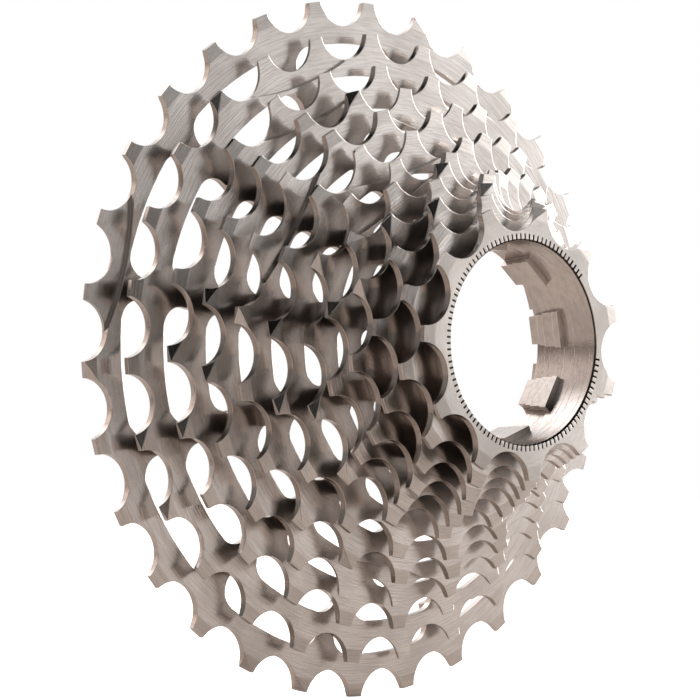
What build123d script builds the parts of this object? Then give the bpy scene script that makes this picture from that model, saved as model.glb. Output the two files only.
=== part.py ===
from build123d import *
import math
import os

# Cassette of twelve chain sprockets for a bicycle's rear hub.
# All sizes are in millimetres. The wheel axis is Y, the smallest sprocket faces -Y (outboard),
# +Z is up, and the origin is the centre of the smallest sprocket's outboard face.

# Chain
chain_pitch = 12.7
roller_radius = 3.97          # from a seated chain roller's centre to the bottom of its gullet
tooth_addendum = 0.55         # tooth tip above the pitch circle
tip_width = 2.7               # flat land left on each tooth tip

# Cassette
tooth_counts = [11, 12, 13, 14, 15, 16, 18, 20, 22, 24, 27, 30]
sprocket_spacing = 3.655      # outboard face to outboard face
plate_thickness = 1.3
first_tooth_angles = [15.0, 13.0, 10.5, 8.5, 3.5, 22.0, 18.0, 13.0, 8.0, 3.5, 12.0, 5.5]

# Rims, arms and webs
rim_width = 2.9               # from the gullet bottoms in to a rim's open inner edge
arm_count = 12
arm_angle = 21.0              # direction of the first arm
arm_width = 3.8
arm_corner = 3.5              # fillet where an arm leaves its rim
web_step = 1.1                # webs stay this far inside the gullets they stand behind
first_open_sprocket = 4       # from this sprocket on, arms and windows take the place of a solid disc

# Hub fit
bore_radius = 17.0
bore_chamfer = 0.3
spline_relief = 0.3           # the bore is this much wider between the spline lugs
spline_count = 9
spline_angle = -29.0          # direction of the first spline lug
spline_depth = 1.2            # how far the lugs stand inside the plain bore
spline_width = 6.2            # of the most outboard layer of lugs
spline_narrowing = 0.45       # each layer further in has lugs narrower by this
first_splined_sprocket = 2
last_splined_sprocket = 3
collar_length = 1.8           # splined collar behind the last splined sprocket
collar_wall = 2.6

# Lockring seat: fine radial notches round most of the bore of the smallest sprocket
notch_count = 96
notch_from = 42.0             # direction of the first notch
notch_arc = 314.0             # the rest of the seat is plain
notch_length = 1.2            # outward from the bore's wall
notch_width = 0.36
notch_depth = 0.28

# Tooth finish
tip_bevel_length = 2.3        # sloped facet on the outboard side of each tooth
tip_bevel_depth = 0.2
back_bevel_length = 0.7
back_bevel_depth = 0.2

# Shifting gates: a dished ramp lifts the chain, and slanted flanks guide it on and off
ramp_angles = [62.0, 40.0, 95.0, 140.0, 70.0, 130.0, 100.0, 150.0, 85.0, 110.0, 112.0, 167.0]
ramp_depth = 0.8
ramp_edge = 0.25              # rim left inside the ramp
gate_spacing = 11             # at most one gate to this many teeth
landing_angle = 18.0          # from a ramp to the tooth that lands the chain
release_angle = 88.0          # from a ramp to the middle of the two teeth that release it
slant_tilt = 27.0             # slope of a slanted flank
slant_start = 1.25            # a slant starts this far past the middle of the tip
slant_foot = 18.0             # and ends this far up the gullet's arc, in degrees
slant_width = 4.0


def pitch_radius(teeth):
    return chain_pitch / (2 * math.sin(math.pi / teeth))


def root_radius(teeth):
    return pitch_radius(teeth) - roller_radius


def tip_radius(teeth):
    return pitch_radius(teeth) + tooth_addendum


def rim_radius(teeth):
    return root_radius(teeth) - rim_width


def outboard_y(index):
    return index * sprocket_spacing


def face_plane(y):
    """Plane across the wheel axis that looks outboard, with X to the right and Z up."""
    return Plane.XZ.offset(-y)


def turned(angle, radial, tangential):
    """Point at a radius along a direction, then sideways from it."""
    direction = Vector(1, 0).rotate(Axis.Z, angle)
    sideways = Vector(0, 1).rotate(Axis.Z, angle)
    return direction * radial + sideways * tangential


def gullet_corner(teeth):
    """Where a gullet's arc meets a tooth tip: how far above its bottom, and how far to the side."""
    half_gullet = math.pi / teeth - math.asin(tip_width / 2 / tip_radius(teeth))
    height = tip_radius(teeth) * math.cos(half_gullet) - root_radius(teeth)
    return height, tip_radius(teeth) * math.sin(half_gullet)


def tooth_outline(teeth, first_tooth):
    """Closed outline: one wide arc to each gullet, from tip to tip, and round-topped teeth."""
    pitch_angle = 360 / teeth
    bottom = root_radius(teeth)
    height, side = gullet_corner(teeth)
    for number in range(teeth):
        gullet = first_tooth + (number + 0.5) * pitch_angle
        start = turned(gullet, bottom + height, -side)
        end = turned(gullet, bottom + height, side)
        next_start = turned(gullet + pitch_angle, bottom + height, -side)
        ThreePointArc(start, turned(gullet, bottom, 0), end)
        ThreePointArc(end, turned(gullet + pitch_angle / 2, tip_radius(teeth), 0), next_start)


def hub_radius(index):
    """The bore of a sprocket, or of the web behind it: wider from the first splined sprocket on."""
    return bore_radius + spline_relief if index >= first_splined_sprocket else bore_radius


def spline_lugs(layer):
    """Lugs that stand inward from the bore, in the sketch that is being drawn."""
    width = spline_width - spline_narrowing * layer
    crest = bore_radius - spline_depth
    root = bore_radius + 2 * spline_relief
    with PolarLocations((crest + root) / 2, spline_count, start_angle=spline_angle):
        Rectangle(root - crest, width)
    Circle(crest, mode=Mode.SUBTRACT)


def gate_angles(index):
    """Directions of a sprocket's ramps, evenly spread from the first."""
    gates = tooth_counts[index] // gate_spacing
    return [ramp_angles[index] + gate * 360 / gates for gate in range(gates)]


def cut_ramps(index):
    """Dished recess on the outboard face: an arc from one gullet to the next but one."""
    teeth = tooth_counts[index]
    pitch_angle = 360 / teeth
    root = root_radius(teeth)
    low = rim_radius(teeth) + ramp_edge
    beyond = 2 * tip_radius(teeth)
    for angle in gate_angles(index):
        gullet = round((angle - first_tooth_angles[index]) / pitch_angle - 0.5) + 0.5
        middle = first_tooth_angles[index] + gullet * pitch_angle
        first = middle - pitch_angle
        last = middle + pitch_angle
        with BuildSketch(face_plane(outboard_y(index))) as dish:
            with BuildLine():
                ThreePointArc(turned(first, root, 0), turned(middle, low, 0), turned(last, root, 0))
                Polyline(
                    turned(last, root, 0),
                    turned(last, beyond, 0),
                    turned(middle, beyond, 0),
                    turned(first, beyond, 0),
                    turned(first, root, 0),
                )
            make_face()
        extrude(dish.sketch, amount=-ramp_depth, mode=Mode.SUBTRACT)


def slant_flank(index, tooth, side):
    """Slant one flank of a tooth, from its tip down to the gullet on that side (1 or -1)."""
    teeth = tooth_counts[index]
    pitch_angle = 360 / teeth
    middle = first_tooth_angles[index] + tooth * pitch_angle
    height, side_way = gullet_corner(teeth)
    arc_radius = (height**2 + side_way**2) / (2 * height)
    foot_out = root_radius(teeth) + arc_radius * (1 - math.cos(math.radians(slant_foot)))
    foot_side = arc_radius * math.sin(math.radians(slant_foot))
    y = outboard_y(index)
    at_tip = turned(middle, tip_radius(teeth), -side * slant_start)
    at_foot = turned(middle + side * pitch_angle / 2, foot_out, -side * foot_side)
    top = face_plane(y + tip_bevel_depth).from_local_coords(at_tip)
    foot = face_plane(y).from_local_coords(at_foot)
    depth = slant_width * math.tan(math.radians(slant_tilt))
    with BuildSketch(Plane(origin=foot, x_dir=(0, 1, 0), z_dir=top - foot)) as wedge:
        with BuildLine():
            Polyline((0, 0), (depth, side * slant_width), (-plate_thickness, side * slant_width), close=True)
        make_face()
    extrude(wedge.sketch, amount=(top - foot).length + tip_width, mode=Mode.SUBTRACT)


def cut_gates(index):
    """Slanted flanks of every gate: a tooth that lands the chain and two that release it."""
    pitch_angle = 360 / tooth_counts[index]
    for angle in gate_angles(index):
        landing = round((angle + landing_angle - first_tooth_angles[index]) / pitch_angle)
        release = math.floor((angle + release_angle - first_tooth_angles[index]) / pitch_angle)
        slant_flank(index, landing, 1)
        if index < first_open_sprocket:
            slant_flank(index, landing - 1, 1)
        else:
            slant_flank(index, release, -1)
            slant_flank(index, release + 1, -1)


def bevel_tips(teeth, y):
    """Cone cuts that slope both sides of the teeth towards their tips."""
    tip = tip_radius(teeth)
    back = y + plate_thickness
    clear = 1.0
    front_slope = tip_bevel_depth / tip_bevel_length
    back_slope = back_bevel_depth / back_bevel_length
    with BuildSketch(Plane.XY) as bevels:
        with BuildLine():
            Polyline(
                (tip - tip_bevel_length, y),
                (tip + clear, y),
                (tip + clear, y + front_slope * (tip_bevel_length + clear)),
                close=True,
            )
        make_face()
        with BuildLine():
            Polyline(
                (tip - back_bevel_length, back),
                (tip + clear, back),
                (tip + clear, back - back_slope * (back_bevel_length + clear)),
                close=True,
            )
        make_face()
    revolve(bevels.sketch, axis=Axis.Y, mode=Mode.SUBTRACT)


def sprocket(index):
    """One toothed plate, with its arms or its hub bore."""
    teeth = tooth_counts[index]
    first_tooth = first_tooth_angles[index]
    y = outboard_y(index)
    with BuildPart() as plate:
        with BuildSketch(face_plane(y + plate_thickness)) as face:
            with BuildLine():
                tooth_outline(teeth, first_tooth)
            make_face()
            if index >= first_open_sprocket:
                foot = rim_radius(tooth_counts[index - 1])
                rim = rim_radius(teeth)
                Circle(rim, mode=Mode.SUBTRACT)
                arm_length = rim - foot + 2 * web_step
                with PolarLocations(foot - web_step + arm_length / 2, arm_count, start_angle=arm_angle):
                    Rectangle(arm_length, arm_width)
                Circle(foot, mode=Mode.SUBTRACT)
                corners = face.vertices().filter_by(lambda v: abs(math.hypot(v.X, v.Y) - rim) < 0.01)
                fillet(corners, min(arm_corner, 0.8 * (rim - foot)))
            else:
                Circle(hub_radius(index), mode=Mode.SUBTRACT)
                if first_splined_sprocket <= index <= last_splined_sprocket:
                    spline_lugs(2 * (index - first_splined_sprocket))
        extrude(amount=plate_thickness)
        bevel_tips(teeth, y)
        if index >= first_open_sprocket:
            cut_ramps(index)
        cut_gates(index)
        if index == 0:
            cut_lockring_seat()
    plate.part.label = f"sprocket_{teeth}t"
    return plate


def cut_lockring_seat():
    """Chamfer the mouth of the bore and notch the face round it."""
    with BuildSketch(Plane.XY) as mouth:
        with BuildLine():
            Polyline(
                (bore_radius - bore_chamfer, 0),
                (bore_radius + bore_chamfer, 0),
                (bore_radius - bore_chamfer, 2 * bore_chamfer),
                close=True,
            )
        make_face()
    revolve(mouth.sketch, axis=Axis.Y, mode=Mode.SUBTRACT)
    outer = bore_radius + notch_length
    inner = bore_radius - bore_chamfer
    middle = (inner + outer) / 2
    with BuildSketch(face_plane(0)) as notches:
        with PolarLocations(middle, notch_count, start_angle=notch_from, angular_range=notch_arc):
            Rectangle(outer - inner, notch_width)
    extrude(notches.sketch, amount=-notch_depth, mode=Mode.SUBTRACT)


def web_ring(index):
    """Closed ring between two of the small sprockets, behind the smaller one's gullets."""
    smaller = tooth_counts[index]
    back = outboard_y(index + 1)
    gap = sprocket_spacing - plate_thickness
    with BuildPart() as ring:
        with BuildSketch(face_plane(back)):
            Circle(root_radius(smaller) - web_step)
            Circle(hub_radius(index), mode=Mode.SUBTRACT)
            if first_splined_sprocket <= index < last_splined_sprocket:
                spline_lugs(1)
        extrude(amount=gap)
    ring.part.label = f"web_ring_{smaller}t_{tooth_counts[index + 1]}t"
    return ring


def web_posts(index):
    """Short posts that carry a larger sprocket's arms on the back of the next smaller one."""
    smaller = tooth_counts[index]
    inner = rim_radius(smaller)
    outer = root_radius(smaller) - web_step
    back = outboard_y(index + 1)
    gap = sprocket_spacing - plate_thickness
    with BuildPart() as posts:
        with BuildSketch(face_plane(back)):
            with PolarLocations((inner + outer) / 2, arm_count, start_angle=arm_angle):
                Rectangle(outer - inner, arm_width)
            Circle(inner + web_step, mode=Mode.SUBTRACT)
        extrude(amount=gap)
    posts.part.label = f"web_posts_{smaller}t_{tooth_counts[index + 1]}t"
    return posts


def spline_collar():
    """Short splined collar on the back of the last splined sprocket."""
    start = outboard_y(last_splined_sprocket) + plate_thickness
    with BuildPart() as collar:
        with BuildSketch(face_plane(start + collar_length)):
            Circle(bore_radius + collar_wall)
            Circle(hub_radius(last_splined_sprocket), mode=Mode.SUBTRACT)
            spline_lugs(3)
        extrude(amount=collar_length)
    collar.part.label = "spline_collar"
    return collar


pieces = [sprocket(index) for index in range(len(tooth_counts))]
for index in range(len(tooth_counts) - 1):
    if index + 1 < first_open_sprocket:
        pieces.append(web_ring(index))
    else:
        pieces.append(web_posts(index))
pieces.append(spline_collar())

os.makedirs("parts", exist_ok=True)
for piece in pieces:
    export_step(piece.part, f"parts/{piece.part.label}.step")
    print(f"{piece.part.label}: {len(piece.part.solids())} solids, {piece.part.volume:.0f} mm3")
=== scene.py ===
# %% [markdown]
# # A bicycle cassette in machined steel
# A cassette is the stepped stack of chain sprockets on a rear wheel. This one is cut from
# a single block of steel, so it is all bare metal: flat turned faces, scooped gullets, thin
# arms and a splined bore. The shapes come ready-made from the CAD model. This lesson gives
# them their metal, and then the studio that a polished metal needs to look like metal.

import math

import bpy
from mathutils import Matrix, Vector


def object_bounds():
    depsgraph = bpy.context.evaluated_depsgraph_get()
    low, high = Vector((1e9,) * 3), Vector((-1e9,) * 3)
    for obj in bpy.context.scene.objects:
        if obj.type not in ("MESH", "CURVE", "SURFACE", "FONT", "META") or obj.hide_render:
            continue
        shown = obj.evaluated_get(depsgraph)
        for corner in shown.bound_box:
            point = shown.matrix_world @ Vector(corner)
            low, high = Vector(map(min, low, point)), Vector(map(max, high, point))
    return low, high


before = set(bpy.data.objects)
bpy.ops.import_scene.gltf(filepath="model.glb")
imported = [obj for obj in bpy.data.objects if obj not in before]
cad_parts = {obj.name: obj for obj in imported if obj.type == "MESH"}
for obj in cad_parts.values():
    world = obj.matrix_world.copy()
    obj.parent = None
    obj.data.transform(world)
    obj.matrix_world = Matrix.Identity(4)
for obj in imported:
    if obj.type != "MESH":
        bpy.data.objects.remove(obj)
cad_low, cad_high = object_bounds()
millimetre = 0.001
print("CAD nodes:", len(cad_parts))
print("CAD box in mm:", [round(v / millimetre, 1) for v in (*cad_low, *cad_high)])

# %% [markdown]
# ## Helpers for node trees
# A material in Blender is a tree of nodes. Writing every link by hand hides what the metal
# is made of, so four small helpers do the wiring: one adds a node and fills its sockets,
# one does arithmetic, one spreads a value over a range and one mixes two colours. A socket
# takes either a plain value or another node's output, and the helpers tell them apart.
# A name such as i0 stands for the first socket, for nodes whose sockets share a name.


# %% Node helpers
def add_node(tree, kind, settings=None, **sockets):
    """Add a node, set its own settings, and fill its sockets with values or links."""
    node = tree.nodes.new(kind)
    for name, value in (settings or {}).items():
        setattr(node, name, value)
    for name, value in sockets.items():
        by_number = name[0] == "i" and name[1:].isdigit()
        socket = node.inputs[int(name[1:])] if by_number else node.inputs[name]
        if isinstance(value, bpy.types.NodeSocket):
            tree.links.new(value, socket)
        else:
            socket.default_value = value
    return node


def arithmetic(tree, operation, first, second=0.0, third=0.0):
    """One step of arithmetic on two or three numbers or outputs."""
    node = add_node(tree, "ShaderNodeMath", {"operation": operation}, i0=first, i1=second, i2=third)
    return node.outputs[0]


def spread(tree, value, low, high, to_low, to_high):
    """Carry a value from one range to another, and hold it inside the new one."""
    node = add_node(tree, "ShaderNodeMapRange", {"interpolation_type": "SMOOTHSTEP"}, Value=value)
    ends = (("From Min", low), ("From Max", high), ("To Min", to_low), ("To Max", to_high))
    for name, number in ends:
        node.inputs[name].default_value = number
    return node.outputs["Result"]


def blend_colours(tree, share, first, second):
    """Mix two colours by a share that runs from 0 to 1."""
    node = add_node(tree, "ShaderNodeMix", {"data_type": "RGBA"})
    first_socket, second_socket = node.inputs[6], node.inputs[7]
    for socket, value in ((node.inputs["Factor"], share), (first_socket, first), (second_socket, second)):
        if isinstance(value, bpy.types.NodeSocket):
            tree.links.new(value, socket)
        else:
            socket.default_value = value if isinstance(value, float) else (*value, 1.0)
    return node.outputs[2]


print("helpers ready")

# %% [markdown]
# ## Where a point lies on the wheel
# Turning marks are rings round the wheel's axle, so their pattern needs a point's distance
# from the axle and its direction round it, and not its X, Y and Z. The object's own
# coordinates are in metres and the axle is the Y axis, so the distance is the length of
# the vector once Y is set to zero.


# %% Distance from the axle, direction round it and depth along it
def wheel_coordinates(tree):
    """Radius in millimetres, direction in radians and depth in millimetres of each point."""
    place = add_node(tree, "ShaderNodeTexCoord").outputs["Object"]
    parts = add_node(tree, "ShaderNodeSeparateXYZ", Vector=place)
    x, y, z = parts.outputs
    flat = add_node(tree, "ShaderNodeCombineXYZ", X=x, Z=z).outputs[0]
    length = add_node(tree, "ShaderNodeVectorMath", {"operation": "LENGTH"}, i0=flat).outputs["Value"]
    radius = arithmetic(tree, "MULTIPLY", length, 1 / millimetre)
    direction = arithmetic(tree, "ARCTAN2", z, x)
    depth = arithmetic(tree, "MULTIPLY", y, 1 / millimetre)
    return place, radius, direction, depth


def facing_along_axle(tree):
    """1 on faces that look along the axle, 0 on gullets, bores and edges."""
    normal = add_node(tree, "ShaderNodeTexCoord").outputs["Normal"]
    parts = add_node(tree, "ShaderNodeSeparateXYZ", Vector=normal)
    turned_to_axle = arithmetic(tree, "ABSOLUTE", parts.outputs["Y"])
    return spread(tree, turned_to_axle, 0.80, 0.95, 0.0, 1.0)


print("wheel coordinates ready")

# %% [markdown]
# ## Marks that the cutter leaves
# A lathe tool leaves fine rings on a face. A milling cutter leaves short steps across the
# floor of a gullet. Both are noise that is stretched a lot in one direction: high frequency
# across the marks, very low along them. The same noise drives bump and roughness, because
# a groove both tilts the light and scatters it.


# %% Turning rings, milling marks and handling blotches
def turning_rings(tree, radius, direction, depth, per_millimetre, wander=9.0):
    """Fine rings round the axle that fade in and out along their way."""
    across = arithmetic(tree, "MULTIPLY", radius, per_millimetre)
    along = arithmetic(tree, "MULTIPLY", direction, wander)
    point = add_node(tree, "ShaderNodeCombineXYZ", X=across, Y=along, Z=depth).outputs[0]
    rings = add_node(tree, "ShaderNodeTexNoise", Vector=point, Scale=1.0, Detail=3.0, Roughness=0.65)
    return rings.outputs["Fac"]


def milling_marks(tree, direction, depth, per_millimetre=9.0, wander=14.0):
    """Fine lines round each gullet's wall, and slow waves across it."""
    across = arithmetic(tree, "MULTIPLY", depth, per_millimetre)
    along = arithmetic(tree, "MULTIPLY", direction, wander)
    point = add_node(tree, "ShaderNodeCombineXYZ", X=across, Y=along).outputs[0]
    lines = add_node(tree, "ShaderNodeTexNoise", Vector=point, Scale=1.0, Detail=2.0, Roughness=0.5)
    return lines.outputs["Fac"]


def blotches(tree, place, per_metre, detail=2.0):
    """Soft patches, as where hands and coolant have been."""
    patches = add_node(
        tree, "ShaderNodeTexNoise", Vector=place, Scale=per_metre, Detail=detail, Roughness=0.55
    )
    return patches.outputs["Fac"]


print("marks ready")

# %% [markdown]
# ## Broken edges
# No real edge is perfectly sharp. Tumbling and plating round it by about a tenth of a
# millimetre, and that narrow round catches light as a bright line. The Bevel node rounds
# the shading without touching the mesh, and comparing its answer with the true normal
# gives a mask for the edges, where the colour is lightened as a painted highlight.


# %% Rounded edges in the shading
def broken_edges(tree, round_mm):
    """The rounded normal, and a mask that is 1 on an edge and 0 on a face."""
    rounded = add_node(tree, "ShaderNodeBevel", {"samples": 6}, Radius=round_mm * millimetre)
    true_normal = add_node(tree, "ShaderNodeNewGeometry").outputs["Normal"]
    same = add_node(
        tree, "ShaderNodeVectorMath", {"operation": "DOT_PRODUCT"}, i0=rounded.outputs[0], i1=true_normal
    ).outputs["Value"]
    return rounded.outputs[0], spread(tree, same, 0.90, 0.995, 1.0, 0.0)


print("edges ready")

# %% [markdown]
# ## The steels
# Every piece is the same nickel-finished steel, but each surface was cut in its own way.
# One function builds the finish: a warm grey metal, turning rings on the flat faces,
# milling marks in the gullets, blotches everywhere, painted shade darkening the corners
# and a painted highlight on the broken edges. The Ambient Occlusion node finds the
# corners: it measures how much of the space round a point is filled by other metal, and
# the colour is darkened there as painted shade. The arguments set how coarse, how rough
# and how warm each piece is.


# %% Machined steel
cloud_colour = (0.40, 0.36, 0.33)
ring_colour = (0.34, 0.31, 0.29)
# painted shade: a near-black brown that darkens the corners
corner_shade_colour = (0.13, 0.105, 0.095)
# painted highlight: a near-white colour for the broken edges
edge_highlight_colour = (0.95, 0.90, 0.86)
edge_round = 0.10  # millimetres, like the reach of the painted corner shade
corner_shade_reach = 4.0


def machined_steel(
    name, face_colour, gullet_colour, face_rough, gullet_rough, rings_per_mm, ring_depth, grain=0.0
):
    """A metal with turned faces, milled gullets, painted shade in its corners and a painted highlight on its
    broken edges.
    """
    steel = bpy.data.materials.new(name)
    steel.use_nodes = True
    tree = steel.node_tree
    tree.nodes.clear()
    place, radius, direction, depth = wheel_coordinates(tree)
    on_face = facing_along_axle(tree)
    rounded, on_edge = broken_edges(tree, edge_round)
    rings = turning_rings(tree, radius, direction, depth, rings_per_mm)
    milled = milling_marks(tree, direction, depth)
    patches = blotches(tree, place, 90.0)
    specks = blotches(tree, place, 2600.0, detail=4.0)

    # colour: faces and gullets, clouded by blotches, lined by rings, painted shade in corners, painted
    # highlight on edges
    plain = blend_colours(tree, on_face, gullet_colour, face_colour)
    cloudy = spread(tree, patches, 0.35, 0.68, 0.0, 0.35)
    clouded = blend_colours(tree, cloudy, plain, cloud_colour)
    ringed = spread(tree, rings, 0.42, 0.66, 0.0, 0.30)
    lined = blend_colours(tree, ringed, clouded, ring_colour)
    # painted shade: where the AO node finds other metal close by, the colour darkens towards a near-black
    # brown
    openness = add_node(
        tree, "ShaderNodeAmbientOcclusion", {"samples": 8}, Distance=corner_shade_reach * millimetre
    ).outputs["AO"]
    corner_shade_share = spread(tree, openness, 0.20, 0.75, 0.62, 0.0)
    corner_shaded = blend_colours(tree, corner_shade_share, lined, corner_shade_colour)
    # painted highlight: the broken edges are mixed three quarters of the way to a near-white colour
    edge_highlighted = blend_colours(tree, arithmetic(tree, "MULTIPLY", on_edge, 0.75), corner_shaded, edge_highlight_colour)

    # roughness: a base for each kind of surface, moved a little by every mark
    base = spread(tree, on_face, 0.0, 1.0, gullet_rough, face_rough)
    by_rings = arithmetic(tree, "MULTIPLY_ADD", rings, 0.16, base)
    by_patches = arithmetic(tree, "MULTIPLY_ADD", patches, 0.10, by_rings)
    rough = arithmetic(tree, "MULTIPLY_ADD", on_edge, -0.08, arithmetic(tree, "SUBTRACT", by_patches, 0.13))

    # bump: rings on faces, milling in gullets, and a fine grain over both
    face_height = arithmetic(tree, "MULTIPLY", rings, on_face)
    gullet_height = arithmetic(tree, "MULTIPLY", milled, arithmetic(tree, "SUBTRACT", 1.0, on_face))
    height = arithmetic(tree, "ADD", face_height, arithmetic(tree, "MULTIPLY", gullet_height, 0.8))
    height = arithmetic(tree, "MULTIPLY_ADD", specks, 0.10 + grain, height)
    bump = add_node(
        tree, "ShaderNodeBump", Strength=1.0, Distance=ring_depth * millimetre, Height=height, Normal=rounded
    )
    metal = add_node(tree, "ShaderNodeBsdfPrincipled", Metallic=1.0, Roughness=rough, Normal=bump.outputs[0])
    tree.links.new(edge_highlighted, metal.inputs["Base Color"])
    metal.inputs["Anisotropic"].default_value = 0.35
    tangent = add_node(tree, "ShaderNodeTangent", {"direction_type": "RADIAL", "axis": "Y"})
    tree.links.new(tangent.outputs[0], metal.inputs["Tangent"])
    out = add_node(tree, "ShaderNodeOutputMaterial")
    tree.links.new(metal.outputs[0], out.inputs["Surface"])
    return steel, tree, metal, edge_highlighted


face_grey = (0.76, 0.72, 0.69)
gullet_grey = (0.66, 0.605, 0.575)
sprocket_steel = machined_steel(
    "turned_sprocket_steel", face_grey, gullet_grey, 0.20, 0.13, rings_per_mm=5.0, ring_depth=0.020
)[0]
web_steel = machined_steel(
    "milled_web_steel", gullet_grey, gullet_grey, 0.24, 0.16, rings_per_mm=7.0, ring_depth=0.016
)[0]
collar_steel = machined_steel(
    "broached_collar_steel", face_grey, gullet_grey, 0.22, 0.13, rings_per_mm=9.0, ring_depth=0.014
)[0]
print("steels:", sprocket_steel.name, web_steel.name, collar_steel.name)

# %% [markdown]
# ## The lockring seat
# The smallest sprocket's face isn't turned bright like the others. A lockring bites into
# it, so it has a ring of fine notches and a fine matt grain. The notches are real cuts in
# the mesh, and their floors, which lie a quarter of a millimetre below the face, are
# darkened to near-black as painted shade. A mask on depth and radius finds them.


# %% Matt seat with dark notches
bore_radius = 17.0  # millimetres, like the two sizes below
notch_end = 18.22
notch_floor = 0.30
# painted shade: a near-black colour for the notch floors
notch_shade_colour = (0.035, 0.028, 0.024)


def seat_steel(name):
    """The matt finish of the lockring seat, with painted shade in the notches."""
    steel, tree, metal, colour = machined_steel(
        name, (0.66, 0.64, 0.615), gullet_grey, 0.50, 0.15, 9.0, 0.020, grain=0.8
    )
    _, radius, _, depth = wheel_coordinates(tree)
    below_face = spread(tree, depth, 0.02, 0.10, 0.0, 1.0)
    above_floor = spread(tree, depth, notch_floor, notch_floor + 0.06, 1.0, 0.0)
    before_end = spread(tree, radius, notch_end, notch_end + 0.10, 1.0, 0.0)
    outside_bore = spread(tree, radius, bore_radius, bore_radius + 0.06, 0.0, 1.0)
    in_notch = arithmetic(tree, "MULTIPLY", below_face, above_floor)
    in_notch = arithmetic(tree, "MULTIPLY", in_notch, before_end)
    in_notch = arithmetic(tree, "MULTIPLY", in_notch, outside_bore)
    # painted shade: the notch floors are mixed to near-black
    notch_shaded = blend_colours(tree, in_notch, colour, notch_shade_colour)
    tree.links.new(notch_shaded, metal.inputs["Base Color"])
    return steel


notched_steel = seat_steel("notched_seat_steel")
print("seat:", notched_steel.name)

# %% [markdown]
# ## Handing out the metals
# Each CAD piece keeps its mesh and gets its metal through its material slots. A piece's
# name says what it is, so the choice is a short list of name beginnings.


# %% Give each piece its metal
finishes = {
    "sprocket_11t": notched_steel,
    "sprocket": sprocket_steel,
    "web": web_steel,
    "spline": collar_steel,
}
for name, piece in sorted(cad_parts.items()):
    finish = next(finishes[start] for start in finishes if name.startswith(start))
    piece.data.materials.clear()
    piece.data.materials.append(finish)
    for polygon in piece.data.polygons:
        polygon.material_index = 0
    print(f"{name}: {finish.name}")

# %% [markdown]
# ## Floor
# The cassette stands on its largest sprocket's teeth, on a plain pale floor. Polished metal
# shows its surroundings more than itself, and a white floor would fill the undersides of
# the gullets with white. So the floor is white where the camera sees it and a warm grey
# where the metal does: the Light Path node tells a look from a reflection.


# %% Pale floor
floor_height = cad_low.z
floor_half = 4.0
floor_mesh = bpy.data.meshes.new("floor")
floor_mesh.from_pydata(
    [(x * floor_half, y * floor_half, floor_height) for x, y in ((-1, -1), (1, -1), (1, 1), (-1, 1))],
    [],
    [(0, 1, 2, 3)],
)
floor = bpy.data.objects.new("floor", floor_mesh)
bpy.context.scene.collection.objects.link(floor)
floor_paint = bpy.data.materials.new("pale_floor")
floor_paint.use_nodes = True
floor_tree = floor_paint.node_tree
paint = floor_tree.nodes["Principled BSDF"]
paint.inputs["Roughness"].default_value = 0.9
paint.inputs["Specular IOR Level"].default_value = 0.1
paint.inputs["Emission Color"].default_value = (1.0, 1.0, 1.0, 1.0)
floor_seen = add_node(floor_tree, "ShaderNodeLightPath").outputs["Is Camera Ray"]
floor_glow = arithmetic(floor_tree, "MULTIPLY", floor_seen, 0.75)
floor_tree.links.new(floor_glow, paint.inputs["Emission Strength"])
floor_place = add_node(floor_tree, "ShaderNodeTexCoord").outputs["Object"]
floor_cloud = blotches(floor_tree, floor_place, 6.0)
floor_colour = blend_colours(floor_tree, floor_cloud, (0.90, 0.90, 0.90), (0.94, 0.94, 0.94))
floor_seen_colour = blend_colours(floor_tree, floor_seen, (0.60, 0.53, 0.48), floor_colour)
floor_tree.links.new(floor_seen_colour, paint.inputs["Base Color"])
floor_mesh.materials.append(floor_paint)
print("floor at", round(floor_height / millimetre, 2), "mm")

# %% [markdown]
# ## Studio room
# A metal face in an all-white room turns white, and its shape is lost. A photographer hangs
# a few lit cards in a dark room instead, and each face shows the card that it looks at. The
# world does the same here: it is dark, with soft round patches of light in chosen
# directions. The strongest stands past the right-hand side, where only the rough part of
# the shine can reach it. The room behind the metal stays white for the camera.


# %% Studio room
room = bpy.data.worlds.new("studio_room")
bpy.context.scene.world = room
room.use_nodes = True
room_tree = room.node_tree
room_tree.nodes.clear()
seen_way = add_node(room_tree, "ShaderNodeTexCoord").outputs["Generated"]


def glow(tree, way, turn_deg, height_deg, half_width_deg):
    """How much a direction lies inside a soft patch of light: 0 outside, 1 in its middle."""
    turned, raised = math.radians(turn_deg), math.radians(height_deg)
    centre = (math.sin(turned) * math.cos(raised), -math.cos(turned) * math.cos(raised), math.sin(raised))
    near = add_node(
        tree, "ShaderNodeVectorMath", {"operation": "DOT_PRODUCT"}, i0=way, i1=centre
    ).outputs["Value"]
    dim_at, full_at = (math.cos(math.radians(half_width_deg * share)) for share in (1.5, 0.5))
    return spread(tree, near, dim_at, full_at, 0.0, 1.0)


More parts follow.
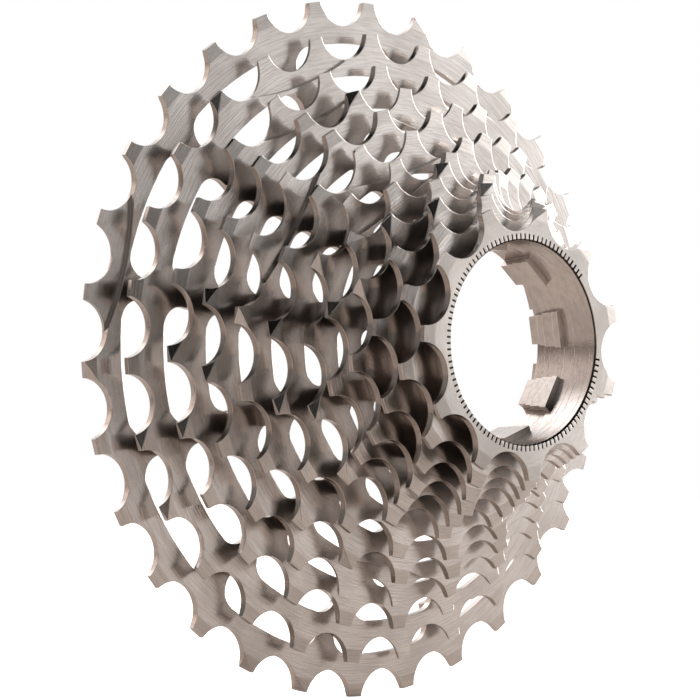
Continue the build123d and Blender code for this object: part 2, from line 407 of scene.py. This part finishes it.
glows = {
    # name: turn from straight ahead of the small sprocket, height and half width in degrees, brightness
    "window past the right-hand side": (95.0, 10.0, 22.0, 10.5),
    "card right of the camera": (68.0, 5.0, 16.0, 0.55),
    "card behind the camera": (52.0, 2.0, 12.0, 1.1),
    "high card, right": (68.0, 28.0, 18.0, 1.15),
    "high card, front": (40.0, 28.0, 18.0, 0.5),
    "far side, right": (130.0, 15.0, 26.0, 0.4),
    "high card, behind": (165.0, 30.0, 24.0, 0.8),
    "high card, behind left": (215.0, 35.0, 24.0, 0.4),
    "ceiling": (185.0, 65.0, 26.0, 1.4),
    "left-hand wall": (300.0, 20.0, 34.0, 0.35),
}
white_light = 0.0
for turn_deg, height_deg, half_width_deg, brightness in glows.values():
    patch = glow(room_tree, seen_way, turn_deg, height_deg, half_width_deg)
    white_light = arithmetic(room_tree, "MULTIPLY_ADD", patch, brightness, white_light)
warm_light = arithmetic(room_tree, "MULTIPLY", glow(room_tree, seen_way, 200.0, 12.0, 22.0), 0.8)
seen_directly = add_node(room_tree, "ShaderNodeLightPath").outputs["Is Camera Ray"]
not_seen = arithmetic(room_tree, "SUBTRACT", 1.0, seen_directly)
strength = add_node(
    room_tree, "ShaderNodeMix", {"data_type": "FLOAT"}, i0=seen_directly, i2=white_light, i3=1.0
).outputs[0]
wall_colour = blend_colours(room_tree, seen_directly, (1.0, 0.975, 0.965), (1.0, 1.0, 1.0))
walls = add_node(room_tree, "ShaderNodeBackground", Color=wall_colour, Strength=strength)
warm_wall = add_node(
    room_tree,
    "ShaderNodeBackground",
    Color=(1.0, 0.78, 0.66, 1.0),
    Strength=arithmetic(room_tree, "MULTIPLY", warm_light, not_seen),
)
both_walls = add_node(room_tree, "ShaderNodeAddShader", i0=walls.outputs[0], i1=warm_wall.outputs[0])
room_out = add_node(room_tree, "ShaderNodeOutputWorld")
room_tree.links.new(both_walls.outputs[0], room_out.inputs["Surface"])
print("room:", room.name)

# %% [markdown]
# ## Camera
# The cassette is seen from outboard and from the side, from a little below its middle, so
# the small sprockets come forward and the big ones fan out behind. A long lens keeps the
# circles from bulging.

# %% Camera
camera_data = bpy.data.cameras.new("camera")
camera_data.lens = 154.71
camera_data.sensor_width = 36.0
camera = bpy.data.objects.new("camera", camera_data)
bpy.context.scene.collection.objects.link(camera)
camera.location = (-0.35771, -0.35191, -0.02307)
turn = math.radians(42.13)
tilt = math.radians(2.45)
roll = math.radians(0.73)
looking = Vector((math.sin(turn) * math.cos(tilt), math.cos(turn) * math.cos(tilt), math.sin(tilt)))
upright = looking.to_track_quat("-Z", "Y").to_matrix().to_4x4()
camera.matrix_world = Matrix.Translation(camera.location) @ upright @ Matrix.Rotation(roll, 4, "Z")
bpy.context.scene.camera = camera
bpy.context.scene.view_settings.view_transform = "Standard"
print("camera looks along", [round(v, 3) for v in looking])
